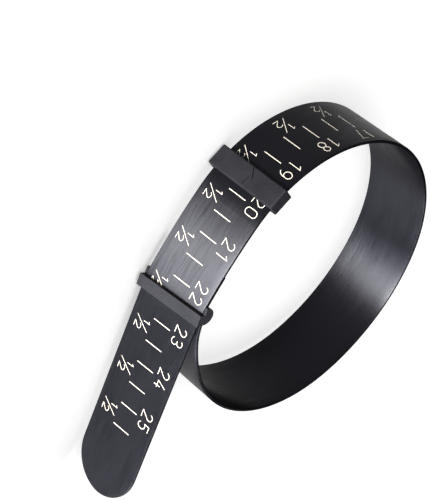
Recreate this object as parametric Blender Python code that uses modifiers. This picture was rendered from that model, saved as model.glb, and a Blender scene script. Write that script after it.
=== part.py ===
"""Wrist sizing strap: a thin graduated strap bent into a loop, its moulded head, and a slider sleeve.

The loop lies on its edge. The strap's free tail runs along +X out of the head, the loop is on the +Y side,
and the strap's width is along +Z. The origin is under the middle of the whole strap's bounding box.
The one strap moulding is divided at hinge lines into stretches, so that the loop can open as the tail slides.
"""

import math

import bmesh
import bpy
from mathutils import Matrix, Vector

MM = 0.001
WELD = 0.001  # millimetres
SHARP_ANGLE = math.radians(30)
ROUNDED_ANGLE = math.radians(40)
ROUNDING_SEGMENTS = 3

# Strap. A station is a distance along the strap in millimetres, ten to each number of its printed scale.
STRAP_WIDTH = 16.4
STRAP_THICK = 0.7
SIDE_OVERHANG = 0.95  # how far the slider and the head's top end stand out past the strap's edges
ROOT_STATION = 28.6  # where the strap comes out of the head
TIP_STATION = 270.7
STRAIGHT_FROM = 225.0
SLIDER_BEND = 28.7  # radius of the stretch that the slider travels on
# First station, last station and radius of the outer face, for each bend between the head and the tail.
BENDS = (
    (ROOT_STATION, 34.0, 16.0),
    (34.0, 44.0, 35.3),
    (44.0, 90.0, 28.9),
    (90.0, 120.0, 36.9),
    (120.0, 150.0, 30.1),
    (150.0, 203.0, SLIDER_BEND),
    (203.0, 222.0, 127.0),
    (222.0, STRAIGHT_FROM, 14.4),
)
HINGE_STATIONS = (44.0, 67.0, 90.0, 120.0, 150.0)
TAIL_STATION = 203.0
STATION_STEP = 2.0
JOINT_GAP = 0.3

# Head
HEAD_BOTTOM = 0.35  # height of the head's low end above the slider's
BAR_X = -1.375  # centre of the bar along the tail, from the end of the last bend
BAR_LENGTH = 2.55
BAR_TOP = 1.0  # above the strap's outer face
BAR_FOOT = 0.2  # where the bar's wall meets the bead, below the strap's outer face
BEAD_X = -2.3
BEAD_RADIUS = 1.9
BEAD_DEPTH = 0.65  # of the bead's centre below the strap's outer face
SLOT_CLEARANCE = 0.35
BAR_CLEARANCE = 0.15  # between the bar and the strap's outer face
LOW_CLEARANCE = 0.15  # between the head's low side wall and the strap's edge
SIDE_WALL = 0.6
SLOT_STATIONS = (218.0, 228.0)  # the slot's floor follows the strap between these
SLOT_ENDS_X = (3.0, -7.0)
TONGUE_FIRST = 214.4
TONGUE_LAST = 224.0
TONGUE_THICK = 0.7
TONGUE_INSET = 0.6  # from each edge of the strap
HEAD_ROUNDING = 0.25
HEAD_LEAN = math.radians(4.0)  # of the bar and the bead, their low end towards the tip

# Slider
SLIDER_STATION = 196.2
SLIDER_LENGTH = 4.7
SLIDER_TOP = 1.3
SLIDER_UNDERSIDE = 1.75
SLIDER_SLOT_DEPTH = 1.15
SLIDER_ROUNDING = 0.3
ARROW_APEX = -2.15
ARROW_NECK = -0.1
ARROW_END = 1.8
ARROW_HALF_WIDTH = 1.55
ARROW_SHAFT_HALF_WIDTH = 0.5
ARROW_HEIGHT = 0.25

TIP_STEPS = 24
CUTTER_MARGIN = 1.0
BEAD_STEPS = 16

HEIGHT = STRAP_WIDTH + 2 * SIDE_OVERHANG


def outer_face(station):
    """Point and heading of the strap's outer face, with the tail along +X from the end of the last bend."""
    if station >= STRAIGHT_FROM:
        return Vector((station - STRAIGHT_FROM, 0.0)), 0.0
    point = Vector((0.0, 0.0))
    heading = 0.0
    for first, last, radius in reversed(BENDS):
        centre = point + radius * inward(heading)
        heading -= (last - max(first, station)) / radius
        point = centre - radius * inward(heading)
        if station >= first:
            break
    return point, heading


def inward(heading):
    """Unit vector from the strap's outer face towards the inside of the loop."""
    return Vector((-math.sin(heading), math.cos(heading)))


def at_depth(station, depth):
    point, heading = outer_face(station)
    return point + depth * inward(heading)


def stations_between(first, last):
    """Both ends, every bend's end between them, and evenly spaced stations in each stretch."""
    ends = [first] + [bend[0] for bend in BENDS if first < bend[0] < last] + [last]
    if first < STRAIGHT_FROM < last:
        ends = sorted(ends + [STRAIGHT_FROM])
    found = [first]
    for start, end in zip(ends, ends[1:]):
        steps = 1 if start >= STRAIGHT_FROM else math.ceil((end - start) / STATION_STEP)
        found += [start + (end - start) * step / steps for step in range(1, steps + 1)]
    return found


def plate_outline(first, last, top_depth, bottom_depth):
    """Outline of a plate that follows the strap between two stations and two depths below its outer face."""
    stations = stations_between(first, last)
    outer = [at_depth(station, top_depth) for station in stations]
    inner = [at_depth(station, bottom_depth) for station in reversed(stations)]
    return outer + inner


def frame_offset():
    """From the end of the last bend to the middle of the whole object's bounding box."""
    loop = [outer_face(station)[0] for station in stations_between(ROOT_STATION, TIP_STATION)]
    middle_x = (min(point.x for point in loop) + TIP_STATION - STRAIGHT_FROM) / 2
    middle_y = (max(point.y for point in loop) - BAR_TOP) / 2
    return Vector((middle_x, middle_y))


def new_collection(name):
    collection = bpy.data.collections.new(name)
    bpy.context.scene.collection.children.link(collection)
    return collection


def material(name, colour, roughness):
    made = bpy.data.materials.new(name)
    made.use_nodes = True
    shader = made.node_tree.nodes["Principled BSDF"]
    shader.inputs["Base Color"].default_value = (*colour, 1.0)
    shader.inputs["Roughness"].default_value = roughness
    shader.inputs["Metallic"].default_value = 0.0
    return made


def joint_empty(name, point, parent):
    """An empty on a joint's axis. Its point is in millimetres, from the end of the last bend."""
    empty = bpy.data.objects.new(name, None)
    PARTS.objects.link(empty)
    empty.location = ((point - FRAME_OFFSET) * MM).to_3d()
    if parent is not None:
        empty.parent = parent
        empty.location -= parent_place(parent)
    return empty


def parent_place(empty):
    place = Vector((0.0, 0.0, 0.0))
    while empty is not None:
        place += empty.location
        empty = empty.parent
    return place


def prism(name, outline, bottom, height):
    """A flat outline in the XY plane, in millimetres from the end of the last bend, as an upright mesh."""
    curve = bpy.data.curves.new(name, "CURVE")
    curve.dimensions = "2D"
    curve.fill_mode = "BOTH"
    curve.extrude = height * MM / 2
    spline = curve.splines.new("POLY")
    spline.points.add(len(outline) - 1)
    for spline_point, corner in zip(spline.points, outline):
        spline_point.co = (*((corner - FRAME_OFFSET) * MM), 0.0, 1.0)
    spline.use_cyclic_u = True
    guide = bpy.data.objects.new(name + "_outline", curve)
    PARTS.objects.link(guide)
    guide.location.z = (bottom + height / 2) * MM
    return mesh_of(name, guide)


def mesh_of(name, guide):
    """The guide curve as a welded mesh object. The guide is removed."""
    bpy.context.view_layer.update()
    graph = bpy.context.evaluated_depsgraph_get()
    mesh = bpy.data.meshes.new_from_object(guide.evaluated_get(graph))
    mesh.transform(guide.matrix_world)
    bpy.data.objects.remove(guide)
    shape = bmesh.new()
    shape.from_mesh(mesh)
    bmesh.ops.remove_doubles(shape, verts=shape.verts, dist=WELD * MM)
    bmesh.ops.recalc_face_normals(shape, faces=shape.faces)
    shape.to_mesh(mesh)
    shape.free()
    made = bpy.data.objects.new(name, mesh)
    PARTS.objects.link(made)
    return made


def block(name, low, high):
    """A box between two corners, in millimetres from the end of the last bend."""
    shape = bmesh.new()
    bmesh.ops.create_cube(shape, size=1.0)
    size = high - low
    middle = (high + low) / 2 - FRAME_OFFSET.to_3d()
    bmesh.ops.scale(shape, vec=size * MM, verts=shape.verts)
    bmesh.ops.translate(shape, vec=middle * MM, verts=shape.verts)
    mesh = bpy.data.meshes.new(name)
    shape.to_mesh(mesh)
    shape.free()
    made = bpy.data.objects.new(name, mesh)
    PARTS.objects.link(made)
    return made


def round_edges(piece, width):
    bevel = piece.modifiers.new("Rounded edges", "BEVEL")
    bevel.width = width * MM
    bevel.segments = ROUNDING_SEGMENTS
    bevel.limit_method = "ANGLE"
    bevel.angle_limit = ROUNDED_ANGLE
    return bevel


def boolean(piece, tool, operation):
    """Joins or cuts with a tool, which stays behind as a hidden wire shape."""
    step = piece.modifiers.new(operation.title(), "BOOLEAN")
    step.operation = operation
    step.object = tool
    PARTS.objects.unlink(tool)
    CUTTERS.objects.link(tool)
    tool.hide_render = True
    tool.display_type = "WIRE"


def finish(piece, look, pivot):
    """Gives a piece its material, and puts its origin on its pivot, with its shape left where it is."""
    piece.data.materials.append(look)
    place = parent_place(pivot)
    piece.data.transform(Matrix.Translation(-place))
    piece.parent = pivot
    for step in piece.modifiers:
        if step.type == "BOOLEAN":
            step.object.data.transform(Matrix.Translation(-place))
            step.object.parent = pivot
    return piece


def strap_stretch(name, first, last, pivot):
    outline = plate_outline(first, last, 0.0, STRAP_THICK)
    piece = prism(name, outline, SIDE_OVERHANG, STRAP_WIDTH)
    piece.data.shade_smooth()
    piece.data.set_sharp_from_angle(angle=SHARP_ANGLE)
    return finish(piece, STRAP_LOOK, pivot)


def strap_tail(pivot):
    """The free end of the strap, which runs through the head. Its tip is a half circle across the width."""
    piece = prism(
        "strap_tail",
        plate_outline(TAIL_STATION + JOINT_GAP / 2, TIP_STATION, 0.0, STRAP_THICK),
        SIDE_OVERHANG,
        STRAP_WIDTH,
    )
    radius = STRAP_WIDTH / 2
    tip_x = TIP_STATION - STRAIGHT_FROM
    centre = Vector((tip_x - radius, HEIGHT / 2))
    beyond = tip_x + CUTTER_MARGIN
    top = HEIGHT + CUTTER_MARGIN
    corners = [Vector((centre.x, -CUTTER_MARGIN)), Vector((beyond, -CUTTER_MARGIN))]
    corners += [Vector((beyond, top)), Vector((centre.x, top))]
    arc = [math.radians(90 - 180 * step / TIP_STEPS) for step in range(TIP_STEPS + 1)]
    rounded = [centre + radius * Vector((math.cos(angle), math.sin(angle))) for angle in arc]
    cutter = prism_across("tip_cutter", corners + rounded, -CUTTER_MARGIN, STRAP_THICK + CUTTER_MARGIN)
    boolean(piece, cutter, "DIFFERENCE")
    return finish(piece, STRAP_LOOK, pivot)


def prism_across(name, outline, near_y, far_y):
    """A flat outline of X and Z values, in millimetres, as a mesh that runs along Y."""
    flat = [Vector((corner.x, corner.y)) + FRAME_OFFSET for corner in outline]
    piece = prism(name, flat, 0.0, far_y - near_y)
    # Stand it up: its own Y becomes Z, and its own Z becomes -Y.
    piece.data.transform(Matrix.Rotation(math.radians(90), 4, "X"))
    shift = Vector((-FRAME_OFFSET.x, far_y - FRAME_OFFSET.y, 0.0))
    piece.data.transform(Matrix.Translation(shift * MM))
    return piece


def leaning():
    """Shears a shape along X, more at its low end, so that it crosses the strap at a slight angle."""
    lean = math.tan(HEAD_LEAN)
    shear = Matrix.Identity(4)
    shear[0][2] = -lean
    shear[0][3] = lean * HEIGHT * MM
    return shear


def strap_start(pivot):
    """The fixed first stretch of the strap. Its end stays beside the head, so it leans with it."""
    piece = strap_stretch("strap_start", ROOT_STATION, HINGE_STATIONS[0] - JOINT_GAP / 2, pivot)
    heading = outer_face(ROOT_STATION)[1]
    along = Vector((math.cos(heading), math.sin(heading), 0.0))
    corners = [(at_depth(ROOT_STATION, depth) - FRAME_OFFSET) * MM for depth in (0.0, STRAP_THICK)]
    for vert in piece.data.vertices:
        if min((vert.co.xy - corner).length for corner in corners) < WELD * MM:
            vert.co += along * math.tan(HEAD_LEAN) * (HEIGHT * MM - vert.co.z)
    return piece


def head(pivot):
    """The moulded head: a bar over the tail, a bead under it, side walls, and a tongue under the strap."""
    half_bar = BAR_LENGTH / 2
    bar_start = BAR_X - half_bar
    bar_end = BAR_X + half_bar
    bar = [Vector((bar_start, BAR_FOOT)), Vector((bar_start, -BAR_TOP)), Vector((bar_end, -BAR_TOP))]
    centre = Vector((BEAD_X, BEAD_DEPTH))
    first_angle = 0.0
    last_angle = math.pi + math.asin((BEAD_DEPTH - BAR_FOOT) / BEAD_RADIUS)
    angle_step = (last_angle - first_angle) / BEAD_STEPS
    angles = [first_angle + angle_step * step for step in range(BEAD_STEPS + 1)]
    bead = [centre + BEAD_RADIUS * Vector((math.cos(angle), math.sin(angle))) for angle in angles]
    piece = prism("head", bar + bead, HEAD_BOTTOM, HEIGHT - HEAD_BOTTOM)
    piece.data.transform(leaning())
    round_edges(piece, HEAD_ROUNDING)
    slot_floor = STRAP_THICK + SLOT_CLEARANCE
    slot_top = [Vector((end_x, -BAR_CLEARANCE)) for end_x in SLOT_ENDS_X]
    floor = [at_depth(station, slot_floor) for station in stations_between(*SLOT_STATIONS)]
    slot_bottom = SIDE_OVERHANG - LOW_CLEARANCE
    slot = prism("head_slot_cutter", slot_top + floor, slot_bottom, HEIGHT - SIDE_WALL - slot_bottom)
    boolean(piece, slot, "DIFFERENCE")
    tongue_outline = plate_outline(TONGUE_FIRST, TONGUE_LAST, slot_floor, slot_floor + TONGUE_THICK)
    tongue_bottom = SIDE_OVERHANG + TONGUE_INSET
    tongue = prism("head_tongue", tongue_outline, tongue_bottom, STRAP_WIDTH - 2 * TONGUE_INSET)
    boolean(piece, tongue, "UNION")
    return finish(piece, MOULDED_LOOK, pivot)


def slider(pivot):
    """The sleeve that marks a size. It is modelled square to the axes, then turned into place."""
    middle, heading = outer_face(SLIDER_STATION)
    half = SLIDER_LENGTH / 2
    low = Vector((-half, -SLIDER_TOP, 0.0))
    high = Vector((half, SLIDER_UNDERSIDE, HEIGHT))
    piece = block("slider", low, high)
    round_edges(piece, SLIDER_ROUNDING)
    slot = block(
        "slider_slot_cutter",
        Vector((-SLIDER_LENGTH, -SLOT_CLEARANCE, SIDE_WALL)),
        Vector((SLIDER_LENGTH, SLIDER_SLOT_DEPTH, HEIGHT - SIDE_WALL)),
    )
    boolean(piece, slot, "DIFFERENCE")
    across = (ARROW_HALF_WIDTH, ARROW_SHAFT_HALF_WIDTH)
    side = [Vector((ARROW_NECK, across[0])), Vector((ARROW_NECK, across[1])), Vector((ARROW_END, across[1]))]
    other_side = [Vector((corner.x, -corner.y)) for corner in reversed(side)]
    lift = Vector((0.0, HEIGHT / 2))
    outline = [corner + lift for corner in [Vector((ARROW_APEX, 0.0))] + side + other_side]
    arrow = prism_across("slider_arrow", outline, -SLIDER_TOP - ARROW_HEIGHT, -SLIDER_TOP + ARROW_HEIGHT)
    boolean(piece, arrow, "UNION")
    # The shapes were drawn round the end of the last bend. Turn them to the heading, and carry them there.
    home = Matrix.Translation((-FRAME_OFFSET * MM).to_3d())
    turn = Matrix.Rotation(heading, 4, "Z")
    carry = Matrix.Translation(((middle - FRAME_OFFSET) * MM).to_3d())
    for shape in (piece, slot, arrow):
        shape.data.transform(carry @ turn @ home.inverted())
    return finish(piece, SLIDER_LOOK, pivot)


for old in list(bpy.data.objects):
    bpy.data.objects.remove(old)

PARTS = new_collection("Wrist sizing strap")
CUTTERS = new_collection("Cutters")
CUTTERS.hide_render = True
FRAME_OFFSET = frame_offset()
STRAP_LOOK = material("Strap plastic", (0.030, 0.031, 0.034), 0.36)
MOULDED_LOOK = material("Head plastic", (0.045, 0.047, 0.050), 0.55)
SLIDER_LOOK = material("Slider plastic", (0.050, 0.051, 0.054), 0.60)

frame = joint_empty("frame", FRAME_OFFSET, None)
head(frame)
strap_start(frame)

pivot = frame
ends = HINGE_STATIONS[1:] + (TAIL_STATION,)
for number, (first, last) in enumerate(zip(HINGE_STATIONS, ends), start=1):
    pivot = joint_empty(f"flex_{number}_axis", at_depth(first, STRAP_THICK / 2), pivot)
    strap_stretch(f"strap_flex_{number}", first + JOINT_GAP / 2, last - JOINT_GAP / 2, pivot)

slider_point, slider_heading = outer_face(SLIDER_STATION)
slider_centre = slider_point + SLIDER_BEND * inward(slider_heading)
slider(joint_empty("slider_axis", slider_centre, pivot))
strap_tail(joint_empty("tail_axis", outer_face(STRAIGHT_FROM)[0], frame))
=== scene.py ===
import math

import bmesh
import bpy
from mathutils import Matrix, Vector


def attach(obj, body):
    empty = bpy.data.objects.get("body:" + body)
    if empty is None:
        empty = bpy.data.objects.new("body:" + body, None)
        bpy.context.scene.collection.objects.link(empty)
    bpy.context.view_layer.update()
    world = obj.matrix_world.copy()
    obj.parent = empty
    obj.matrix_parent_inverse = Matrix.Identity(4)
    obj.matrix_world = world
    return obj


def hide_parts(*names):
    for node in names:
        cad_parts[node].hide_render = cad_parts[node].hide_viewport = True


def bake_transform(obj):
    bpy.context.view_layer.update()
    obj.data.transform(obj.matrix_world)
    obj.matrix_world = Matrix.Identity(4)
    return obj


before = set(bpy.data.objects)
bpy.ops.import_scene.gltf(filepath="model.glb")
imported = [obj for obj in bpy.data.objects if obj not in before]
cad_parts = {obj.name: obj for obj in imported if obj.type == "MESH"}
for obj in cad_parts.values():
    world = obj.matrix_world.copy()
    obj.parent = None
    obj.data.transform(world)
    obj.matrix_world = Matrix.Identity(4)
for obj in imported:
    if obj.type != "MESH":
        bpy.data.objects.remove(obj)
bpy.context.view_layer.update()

MM = 0.001
UV_UNIT = 10.0  # millimetres to one unit of the UV maps
SMOOTH_ANGLE = math.radians(35)

# The strap, as the CAD has it. A station is a distance along it in millimetres, ten to each number
# of its scale.
STRAP_WIDTH = 16.4
STRAP_THICK = 0.7
SIDE_OVERHANG = 0.95
ROOT_STATION = 28.6
TIP_STATION = 270.7
STRAIGHT_FROM = 225.0
BENDS = (
    (ROOT_STATION, 34.0, 16.0),
    (34.0, 44.0, 35.3),
    (44.0, 90.0, 28.9),
    (90.0, 120.0, 36.9),
    (120.0, 150.0, 30.1),
    (150.0, 203.0, 28.7),
    (203.0, 222.0, 127.0),
    (222.0, STRAIGHT_FROM, 14.4),
)
FRAME_OFFSET = Vector((2.9274, 30.3828))
HEIGHT = STRAP_WIDTH + 2 * SIDE_OVERHANG

# Strap skin
SKIN_STEP = 0.75
EDGE_RADIUS = 0.14
EDGE_SHARE = 0.4  # of the half width at most, so that the rounding fades out at the tip
EDGE_STEPS = 3
TIP_STEPS = 40
LAST_TIP_ANGLE = math.radians(88)
FACE_ROWS = 8
HIDDEN_START = 27.6  # the strap's first millimetre, inside the head
# Name, first and last station, its bodies, its hinge's station, and the CAD nodes it replaces.
STRETCHES = (
    ("skin_1", HIDDEN_START, 55.5, ("head", "strap_flex_1"), 44.0, ("strap_start",)),
    ("skin_2", 55.5, 78.5, ("strap_flex_1", "strap_flex_2"), 67.0, ("strap_flex_1",)),
    ("skin_3", 78.5, 105.0, ("strap_flex_2", "strap_flex_3"), 90.0, ("strap_flex_2",)),
    ("skin_4", 105.0, 135.0, ("strap_flex_3", "strap_flex_4"), 120.0, ("strap_flex_3",)),
    ("skin_5", 135.0, 176.5, ("strap_flex_4", "strap_flex_5"), 150.0, ("strap_flex_4",)),
    ("skin_6", 176.5, 203.0, ("strap_flex_5",), None, ("strap_flex_5",)),
    ("skin_tail", 203.0, TIP_STATION, ("tail",), None, ("strap_tail",)),
)

# Printed scale
INK_ABOVE = 0.02  # of the ink's top above the strap's face
INK_BELOW = 0.02  # of its underside below it
INK_GRID = 0.5  # longest piece of a stroke, so that it follows the strap's bend
INK_STEP = 0.003  # height between two ribbons that meet at a sharp corner
SHARP_CORNER = math.radians(42)
TICK_LOW = -2.1
TICK_HIGH = 2.7
TICK_WIDTH = 0.16
FIRST_READING = 15
LAST_READING = 25
DIGIT_WIDTH = 1.65
DIGIT_HEIGHT = 3.15
DIGIT_PITCH = 2.5
DIGIT_FOOT = 3.8
DIGIT_STROKE = 0.155
DIGIT_LEAD = 0.1
NUMBER_STEP = 10.0  # station of each whole reading
HALF_START = 1.25
HALF_FOOT = -6.5
HALF_STROKE = 0.13
# Corner, width and height of the half sign's two figures, and the ends of its slanted bar.
HALF_ONE = (-0.1, 2.15, 1.05, 1.85)
HALF_TWO = (1.4, 0.0, 1.35, 2.0)
HALF_BAR = ((0.1, 0.1), (2.4, 3.9))
FIRST_INK = 140.0
FIRST_MARK = 148.0  # a stretch that ends before this has no ink
MITRE_LIMIT = 0.6
CAP_STEP = 30  # degrees between the points of a stroke's round end
SKEW_STATIONS = (212.0, 228.0)
SKEW_ANGLE = math.radians(3.0)
SKEW_MIDDLE = 0.3  # across, where the skew moves nothing

# Studio
ROOM_LIGHT = 0.06
BACKDROP_LIGHT = 0.92  # of the backdrop, which only the camera sees
FLOOR_HALF = 1.2
FLOOR_BELOW = 0.0003
PANEL_AIM = (-0.01, 0.0, 0.01)
OVERHEAD_PLACE = (0.0, 0.02, 0.8)
OVERHEAD_SIZE = 1.0
OVERHEAD_POWER = 5.4
WHITE = (1.0, 1.0, 1.0)
WARM = (1.0, 0.95, 0.84)
# Name, place, width, power, height and colour of each panel.
PANELS = (
    ("key", (-0.075, -0.52, 0.062), 0.09, 8.0, 0.09, WARM),
    ("key_upper", (-0.02, -0.52, 0.20), 0.16, 37.0, 0.13, WARM),
    ("key_wing", (0.10, -0.50, 0.21), 0.20, 11.0, 0.12, WHITE),
    ("side", (0.38, -0.24, 0.24), 0.45, 13.0, 0.2, WHITE),
)
CAMERA_PLACE = (-0.136997, -0.252081, 0.188164)
CAMERA_TURN = (-42.2719, -39.9386, 116.5831)
CAMERA_LENS = 116.818


# ---------------------------------------------------------------- where things are


def outer_face(station):
    """Point and heading of the strap's outer face."""
    if station >= STRAIGHT_FROM:
        return Vector((station - STRAIGHT_FROM, 0.0)), 0.0
    point = Vector((0.0, 0.0))
    heading = 0.0
    for first, last, radius in reversed(BENDS):
        centre = point + radius * inward(heading)
        reach = last - station if first == ROOT_STATION else last - max(first, station)
        heading -= reach / radius
        point = centre - radius * inward(heading)
        if station >= first:
            break
    return point, heading


def inward(heading):
    return Vector((-math.sin(heading), math.cos(heading)))


def on_strap(station, across, above):
    """Metres in the row frame: across is up from the strap's middle, above is out of its outer face."""
    point, heading = outer_face(station)
    flat = (point - above * inward(heading) - FRAME_OFFSET) * MM
    return Vector((flat.x, flat.y, (HEIGHT / 2 + across) * MM))


# ---------------------------------------------------------------- mesh helpers


def add_object(name, shape, look):
    mesh = bpy.data.meshes.new(name)
    shape.to_mesh(mesh)
    shape.free()
    mesh.shade_smooth()
    mesh.set_sharp_from_angle(angle=SMOOTH_ANGLE)
    mesh.materials.append(look)
    made = bpy.data.objects.new(name, mesh)
    bpy.context.scene.collection.objects.link(made)
    return made


def skin_stations(first, last):
    """Each ring's station and half width, with the round tip at the strap's end."""
    tip_centre = TIP_STATION - STRAP_WIDTH / 2
    straight_end = min(last, tip_centre)
    steps = math.ceil((straight_end - first) / SKIN_STEP)
    found = [(first + (straight_end - first) * k / steps, STRAP_WIDTH / 2) for k in range(steps + 1)]
    if last > tip_centre:
        for k in range(1, TIP_STEPS + 1):
            angle = LAST_TIP_ANGLE * k / TIP_STEPS
            half_width = STRAP_WIDTH / 2 * math.cos(angle)
            found.append((tip_centre + STRAP_WIDTH / 2 * math.sin(angle), half_width))
    return found


def skin_profile(half_width):
    """Across and above of each point round the strap's section, with its long edges rounded."""
    radius = min(EDGE_RADIUS, half_width * EDGE_SHARE)
    side = []
    for k in range(EDGE_STEPS + 1):
        angle = math.pi / 2 * k / EDGE_STEPS
        side.append((half_width - radius + radius * math.sin(angle), -radius + radius * math.cos(angle)))
    outer = [(-across, above) for across, above in reversed(side)]
    span = half_width - radius
    outer += [(-span + 2 * span * k / FACE_ROWS, 0.0) for k in range(1, FACE_ROWS)]
    outer += side
    inner = [(across, -STRAP_THICK - above) for across, above in reversed(outer)]
    return outer + inner


def strap_skin(name, first, last, look):
    shape = bmesh.new()
    uv = shape.loops.layers.uv.new("UVMap")
    rings = []
    for station, half_width in skin_stations(first, last):
        profile = skin_profile(half_width)
        verts = [shape.verts.new(on_strap(station, across, above)) for across, above in profile]
        rings.append((station, profile, verts))
    for (s0, p0, v0), (s1, p1, v1) in zip(rings, rings[1:]):
        count = len(v0)
        for k in range(count):
            n = (k + 1) % count
            face = shape.faces.new((v0[k], v1[k], v1[n], v0[n]))
            corners = ((p0[k], s0), (p1[k], s1), (p1[n], s1), (p0[n], s0))
            for loop, ((across, above), station) in zip(face.loops, corners):
                loop[uv].uv = (across / UV_UNIT, station / UV_UNIT)
    for station, _, verts in (rings[0], rings[-1]):
        face = shape.faces.new(verts if station == rings[0][0] else list(reversed(verts)))
        for loop in face.loops:
            loop[uv].uv = (0.0, station / UV_UNIT)
    bmesh.ops.recalc_face_normals(shape, faces=shape.faces)
    return add_object(name, shape, look)


# ---------------------------------------------------------------- printed scale


def arc(cx, cy, rx, ry, start, end, steps=10):
    """Points of part of an ellipse, with its angles in degrees."""
    angles = [math.radians(start + (end - start) * k / steps) for k in range(steps + 1)]
    return [(cx + rx * math.cos(a), cy + ry * math.sin(a)) for a in angles]


# Centre lines of each figure's strokes, in a box one unit wide and one high.
FIGURES = {
    "0": [arc(0.5, 0.74, 0.5, 0.26, 0, 180) + arc(0.5, 0.26, 0.5, 0.26, 180, 360) + [(1.0, 0.74)]],
    "1": [[(0.18, 0.80), (0.62, 1.0), (0.62, 0.0)]],
    "2": [[(0.02, 0.80)] + arc(0.5, 0.74, 0.48, 0.26, 160, -38) + [(0.0, 0.0), (1.0, 0.0)]],
    "3": [
        arc(0.48, 0.755, 0.45, 0.245, 150, -80)
        + [(0.36, 0.515), (0.52, 0.515)]
        + arc(0.48, 0.26, 0.52, 0.26, 80, -155)
    ],
    "4": [[(0.62, 1.0), (0.0, 0.26), (1.0, 0.26)], [(0.76, 0.52), (0.76, 0.0)]],
    "5": [[(0.92, 1.0), (0.12, 1.0), (0.06, 0.55)] + arc(0.47, 0.32, 0.5, 0.32, 120, -145)],
    "6": [arc(0.5, 0.32, 0.5, 0.32, 160, 520, 18) + arc(0.58, 0.50, 0.57, 0.50, 192, 95, 8)],
    "7": [[(0.0, 1.0), (1.0, 1.0), (0.30, 0.0)]],
    "8": [
        arc(0.5, 0.77, 0.43, 0.23, -90, 270, 18),
        arc(0.5, 0.27, 0.5, 0.27, 90, 450, 18),
    ],
    "9": [arc(0.5, 0.68, 0.5, 0.32, -20, 340, 18) + arc(0.42, 0.50, 0.57, 0.50, 12, -85, 8)],
}


def placed(strokes, x, y, width, height, stroke):
    """Strokes of a unit box, fitted so that the ink's own edges fill the box given."""
    half = stroke / 2
    return [
        [(x + half + u * (width - stroke), y + half + v * (height - stroke)) for u, v in line]
        for line in strokes
    ]


def half_sign(x, y):
    """A small 1 and 2 either side of a slanted bar."""
    bar = [(x + u, y + v) for u, v in HALF_BAR]
    one, two = (
        placed(FIGURES[figure], x + left, y + foot, width, height, HALF_STROKE)
        for figure, (left, foot, width, height) in (("1", HALF_ONE), ("2", HALF_TWO))
    )
    return one + [bar] + two


def resample(line, step):
    """The line with no piece longer than step."""
    found = [Vector(line[0])]
    for corner in line[1:]:
        corner = Vector(corner)
        start = found[-1].copy()
        pieces = max(1, math.ceil((corner - start).length / step))
        found += [start + (corner - start) * k / pieces for k in range(1, pieces + 1)]
    return found


def stroke(shape, line, width):
    """Lays a stroke as one ribbon for each run of it between sharp corners."""
    corners = [0]
    for k in range(1, len(line) - 1):
        before = Vector(line[k]) - Vector(line[k - 1])
        after = Vector(line[k + 1]) - Vector(line[k])
        if before.length > 0 and after.length > 0 and before.angle(after) > SHARP_CORNER:
            corners.append(k)
    corners.append(len(line) - 1)
    for number, (first, last) in enumerate(zip(corners, corners[1:])):
        ribbon(shape, line[first : last + 1], width, INK_ABOVE + number * INK_STEP)


def ribbon(shape, line, width, top_height):
    """A flat stroke with round ends, in station and across, from INK_BELOW the strap's face to its top."""
    points = resample(line, INK_GRID)
    half = width / 2
    sides = []
    for k, point in enumerate(points):
        before = points[max(k - 1, 0)]
        after = points[min(k + 1, len(points) - 1)]
        along_in = (point - before).normalized() if k else (after - point).normalized()
        along_out = (after - point).normalized() if k < len(points) - 1 else along_in
        along = along_in + along_out
        along.normalize()
        normal = Vector((-along.y, along.x))
        mitre = max(MITRE_LIMIT, normal.dot(Vector((-along_in.y, along_in.x))))
        sides.append((point + normal * half / mitre, point - normal * half / mitre))
    first_way = (points[0] - points[1]).normalized()
    last_way = (points[-1] - points[-2]).normalized()
    outline = [pair[0] for pair in sides]
    outline += cap(points[-1], last_way, half)
    outline += [pair[1] for pair in reversed(sides)]
    outline += cap(points[0], first_way, half)
    count = len(sides)
    caps = len(outline) - 2 * count
    half_caps = caps // 2
    top = [shape.verts.new((p.x, p.y, top_height)) for p in outline]
    low = [shape.verts.new((p.x, p.y, -INK_BELOW)) for p in outline]
    for ring, flip in ((top, False), (low, True)):
        left = ring[:count]
        end = ring[count : count + half_caps]
        right = list(reversed(ring[count + half_caps : 2 * count + half_caps]))
        start = ring[2 * count + half_caps :]
        faces = [(left[k], left[k + 1], right[k + 1], right[k]) for k in range(count - 1)]
        faces.append((left[-1], *end, right[-1]))
        faces.append((right[0], *start, left[0]))
        for face in faces:
            shape.faces.new(tuple(reversed(face)) if flip else face)
    total = len(outline)
    for k in range(total):
        n = (k + 1) % total
        shape.faces.new((top[k], low[k], low[n], top[n]))


def cap(centre, way, half):
    """Points of a round end, from the left side of way to its right, without the two corners."""
    left = Vector((-way.y, way.x))
    angles = [math.radians(90 - CAP_STEP * k) for k in range(1, 180 // CAP_STEP)]
    return [centre + half * (left * math.sin(a) + way * math.cos(a)) for a in angles]


def scale_marks():
    """The whole printed scale, flat: x is the station, y is across the strap."""
    shape = bmesh.new()
    for reading in range(FIRST_READING, LAST_READING + 1):
        station = reading * NUMBER_STEP
        text = str(reading)
        first = station - (DIGIT_PITCH * (len(text) - 1) + DIGIT_WIDTH) / 2 - DIGIT_LEAD
        for place, figure in enumerate(text):
            x = first + place * DIGIT_PITCH
            for line in placed(FIGURES[figure], x, DIGIT_FOOT, DIGIT_WIDTH, DIGIT_HEIGHT, DIGIT_STROKE):
                stroke(shape, line, DIGIT_STROKE)
        for tick in (station, station + NUMBER_STEP / 2):
            ends = [(tick, TICK_LOW + TICK_WIDTH / 2), (tick, TICK_HIGH - TICK_WIDTH / 2)]
            stroke(shape, ends, TICK_WIDTH)
        for line in half_sign(station + HALF_START, HALF_FOOT):
            stroke(shape, line, HALF_STROKE)
    return shape


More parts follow.
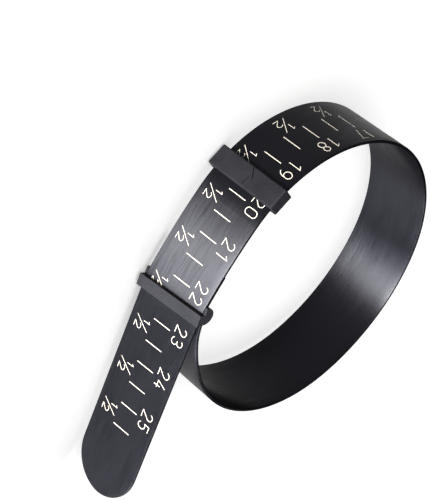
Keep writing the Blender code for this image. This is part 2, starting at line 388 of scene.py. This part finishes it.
def skewed(station, across):
    """Beyond the head the strap is drawn a little askew, so its marks lean."""
    amount = min(max((station - SKEW_STATIONS[0]) / (SKEW_STATIONS[1] - SKEW_STATIONS[0]), 0.0), 1.0)
    return station - amount * math.tan(SKEW_ANGLE) * (across - SKEW_MIDDLE)


def ink(name, marks, first, last, look):
    """The part of the scale between two stations, laid on the strap."""
    shape = marks.copy()
    for station, keep_above in ((first, True), (last, False)):
        normal = (-1.0, 0.0, 0.0) if keep_above else (1.0, 0.0, 0.0)
        everything = list(shape.verts) + list(shape.edges) + list(shape.faces)
        cut = bmesh.ops.bisect_plane(
            shape, geom=everything, plane_co=(station, 0.0, 0.0), plane_no=normal, clear_outer=True
        )
        edges = [item for item in cut["geom_cut"] if isinstance(item, bmesh.types.BMEdge)]
        if edges:
            bmesh.ops.holes_fill(shape, edges=edges, sides=0)
    uv = shape.loops.layers.uv.verify()
    for face in shape.faces:
        for loop in face.loops:
            loop[uv].uv = (loop.vert.co.y / UV_UNIT, loop.vert.co.x / UV_UNIT)
    for vert in shape.verts:
        vert.co = on_strap(skewed(vert.co.x, vert.co.y), vert.co.y, vert.co.z)
    return add_object(name, shape, look)


# ---------------------------------------------------------------- materials

# A Mix node's sockets when it mixes colours
MIX_FIRST = 6
MIX_SECOND = 7
MIX_RESULT = 2
PLASTIC_GLOSS_TINT = (0.76, 0.80, 1.0, 1.0)


class Nodes:
    """A short way to build a node material."""

    def __init__(self, name):
        self.material = bpy.data.materials.new(name)
        self.material.use_nodes = True
        self.tree = self.material.node_tree
        self.shader = self.tree.nodes["Principled BSDF"]

    def add(self, kind, **settings):
        node = self.tree.nodes.new(kind)
        for key, value in settings.items():
            setattr(node, key, value)
        return node

    def link(self, source, target):
        self.tree.links.new(source, target)

    def place(self, source, scale):
        """Coordinates from a UV map or the object, scaled."""
        where = self.add("ShaderNodeTexCoord").outputs[source]
        mapping = self.add("ShaderNodeMapping")
        mapping.inputs["Scale"].default_value = scale
        self.link(where, mapping.inputs["Vector"])
        return mapping.outputs["Vector"]

    def noise(self, where, scale, detail, rough):
        node = self.add("ShaderNodeTexNoise")
        node.inputs["Scale"].default_value = scale
        node.inputs["Detail"].default_value = detail
        node.inputs["Roughness"].default_value = rough
        self.link(where, node.inputs["Vector"])
        return node.outputs["Fac"]

    def remap(self, value, low, high, to_low, to_high):
        node = self.add("ShaderNodeMapRange")
        node.inputs["From Min"].default_value = low
        node.inputs["From Max"].default_value = high
        node.inputs["To Min"].default_value = to_low
        node.inputs["To Max"].default_value = to_high
        self.link(value, node.inputs["Value"])
        return node.outputs["Result"]

    def tint(self, value, dark, light):
        node = self.add("ShaderNodeMix", data_type="RGBA")
        node.inputs[MIX_FIRST].default_value = (*dark, 1.0)
        node.inputs[MIX_SECOND].default_value = (*light, 1.0)
        self.link(value, node.inputs[0])
        return node.outputs[MIX_RESULT]

    def bump(self, height, strength, distance):
        node = self.add("ShaderNodeBump")
        node.inputs["Strength"].default_value = strength
        node.inputs["Distance"].default_value = distance
        self.link(height, node.inputs["Height"])
        self.link(node.outputs["Normal"], self.shader.inputs["Normal"])


def strap_material():
    look = Nodes("Strap_plastic")
    streaks = look.noise(look.place("UV", (26.0, 0.9, 1.0)), 1.0, 4.0, 0.6)
    fine = look.noise(look.place("UV", (70.0, 2.2, 1.0)), 1.0, 3.0, 0.6)
    cloud = look.noise(look.place("UV", (1.3, 0.7, 1.0)), 1.0, 2.0, 0.5)
    mixed = look.add("ShaderNodeMath", operation="MULTIPLY_ADD")
    look.link(streaks, mixed.inputs[0])
    mixed.inputs[1].default_value = 0.5
    half = look.add("ShaderNodeMath", operation="MULTIPLY")
    look.link(fine, half.inputs[0])
    half.inputs[1].default_value = 0.5
    look.link(half.outputs[0], mixed.inputs[2])
    brushed = mixed.outputs[0]
    shade = look.remap(brushed, 0.35, 0.65, 0.0, 1.0)
    colour = look.tint(shade, (0.0003, 0.0003, 0.0005), (0.0007, 0.0007, 0.0010))
    look.link(colour, look.shader.inputs["Base Color"])
    rough = look.add("ShaderNodeMath", operation="ADD")
    look.link(look.remap(brushed, 0.35, 0.65, 0.30, 0.47), rough.inputs[0])
    look.link(look.remap(cloud, 0.3, 0.7, -0.03, 0.03), rough.inputs[1])
    look.link(rough.outputs[0], look.shader.inputs["Roughness"])
    look.bump(brushed, 0.5, 0.00004)
    look.shader.inputs["Anisotropic"].default_value = 0.95
    look.shader.inputs["Specular IOR Level"].default_value = 0.12
    look.shader.inputs["Specular Tint"].default_value = PLASTIC_GLOSS_TINT
    tangent = look.add("ShaderNodeTangent", direction_type="UV_MAP", uv_map="UVMap")
    look.link(tangent.outputs["Tangent"], look.shader.inputs["Tangent"])
    return look.material


def moulded_material(name, dark, light, roughness, gloss):
    """Matte moulded plastic with a fine spark-eroded grain."""
    look = Nodes(name)
    where = look.place("Object", (1.0, 1.0, 1.0))
    grain = look.noise(where, 3800.0, 3.0, 0.6)
    cloud = look.noise(where, 240.0, 2.0, 0.5)
    colour = look.tint(look.remap(cloud, 0.3, 0.7, 0.0, 1.0), dark, light)
    look.link(colour, look.shader.inputs["Base Color"])
    rough = look.remap(grain, 0.3, 0.7, roughness - 0.06, roughness + 0.08)
    look.link(rough, look.shader.inputs["Roughness"])
    look.bump(grain, 0.9, 0.0001)
    look.shader.inputs["Specular IOR Level"].default_value = gloss
    look.shader.inputs["Specular Tint"].default_value = PLASTIC_GLOSS_TINT
    return look.material


def ink_material():
    look = Nodes("Scale_ink")
    where = look.place("UV", (1.0, 1.0, 1.0))
    worn = look.noise(where, 9.0, 4.0, 0.65)
    colour = look.tint(look.remap(worn, 0.35, 0.7, 0.0, 1.0), (0.105, 0.100, 0.092), (0.14, 0.134, 0.124))
    look.link(colour, look.shader.inputs["Base Color"])
    look.link(look.remap(worn, 0.3, 0.7, 0.55, 0.7), look.shader.inputs["Roughness"])
    look.bump(look.noise(where, 60.0, 2.0, 0.5), 0.2, 0.00002)
    return look.material


def floor_material():
    look = Nodes("Floor")
    cloud = look.noise(look.place("Object", (1.0, 1.0, 1.0)), 6.0, 2.0, 0.5)
    look.link(look.tint(cloud, (0.93, 0.93, 0.93), (0.96, 0.96, 0.96)), look.shader.inputs["Base Color"])
    look.shader.inputs["Roughness"].default_value = 0.9
    look.shader.inputs["Specular IOR Level"].default_value = 0.1
    look.shader.inputs["Emission Color"].default_value = (1.0, 1.0, 1.0, 1.0)
    look.shader.inputs["Emission Strength"].default_value = 0.5
    return look.material


# ---------------------------------------------------------------- the object

STRAP_LOOK = strap_material()
HEAD_LOOK = moulded_material(
    "Head_plastic", (0.0016, 0.0016, 0.0021), (0.0030, 0.0031, 0.0037), 0.5, 0.15
)
SLIDER_LOOK = moulded_material(
    "Slider_plastic", (0.0012, 0.0012, 0.0017), (0.0024, 0.0025, 0.0031), 0.55, 0.08
)
INK_LOOK = ink_material()

marks = scale_marks()
for name, first, last, bodies, hinge, nodes in STRETCHES:
    pieces = [strap_skin(name, first, last, STRAP_LOOK)]
    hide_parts(*nodes)
    if last > FIRST_MARK:
        scale_piece = ink(name.replace("skin", "ink"), marks, max(first, FIRST_INK), last, INK_LOOK)
        pieces.append(scale_piece)
    for piece in pieces:
        if hinge is None:
            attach(piece, bodies[0])
        else:
            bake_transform(piece)
marks.free()

for node, look in (("head", HEAD_LOOK), ("slider", SLIDER_LOOK)):
    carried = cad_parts[node]
    carried.data.materials.clear()
    carried.data.materials.append(look)

# ---------------------------------------------------------------- floor, lights and camera


def floor():
    shape = bmesh.new()
    corners = [(-1, -1), (1, -1), (1, 1), (-1, 1)]
    shape.faces.new([shape.verts.new((x * FLOOR_HALF, y * FLOOR_HALF, -FLOOR_BELOW)) for x, y in corners])
    piece = add_object("floor", shape, floor_material())
    return piece


def area_light(name, place, aim, size, power, size_y=None):
    data = bpy.data.lights.new(name, "AREA")
    data.energy = power
    data.shape = "RECTANGLE"
    data.size = size
    data.size_y = size_y or size
    light = bpy.data.objects.new(name, data)
    bpy.context.scene.collection.objects.link(light)
    light.location = place
    light.rotation_euler = (Vector(aim) - Vector(place)).to_track_quat("-Z", "Y").to_euler()
    return light


# The panels that shape the highlights are flagged off the floor, which only the overhead panel lights.
flagged = bpy.data.collections.new("flagged")
flagged.objects.link(floor())
flagged.collection_objects[0].light_linking.link_state = "EXCLUDE"


def studio():
    """A dim room that is seen as a pale backdrop beyond the floor."""
    world = bpy.data.worlds.new("Studio")
    world.use_nodes = True
    tree = world.node_tree
    background = tree.nodes["Background"]
    background.inputs["Color"].default_value = (1.0, 1.0, 1.0, 1.0)
    seen = tree.nodes.new("ShaderNodeLightPath").outputs["Is Camera Ray"]
    strength = tree.nodes.new("ShaderNodeMapRange")
    strength.inputs["To Min"].default_value = ROOM_LIGHT
    strength.inputs["To Max"].default_value = BACKDROP_LIGHT
    tree.links.new(seen, strength.inputs["Value"])
    tree.links.new(strength.outputs["Result"], background.inputs["Strength"])
    bpy.context.scene.world = world


studio()
area_light("overhead", OVERHEAD_PLACE, (0.0, 0.0, 0.0), OVERHEAD_SIZE, OVERHEAD_POWER)
for name, place, size, power, size_y, colour in PANELS:
    panel = area_light(name, place, PANEL_AIM, size, power, size_y)
    panel.data.color = colour
    panel.light_linking.receiver_collection = flagged

camera_data = bpy.data.cameras.new("camera")
camera_data.sensor_width = 36.0
camera_data.lens = CAMERA_LENS
camera_data.clip_start = 0.01
camera_data.clip_end = 10.0
camera = bpy.data.objects.new("camera", camera_data)
bpy.context.scene.collection.objects.link(camera)
camera.location = CAMERA_PLACE
camera.rotation_euler = tuple(math.radians(angle) for angle in CAMERA_TURN)
bpy.context.scene.camera = camera
bpy.context.scene.view_settings.view_transform = "Standard"

bpy.context.view_layer.update()
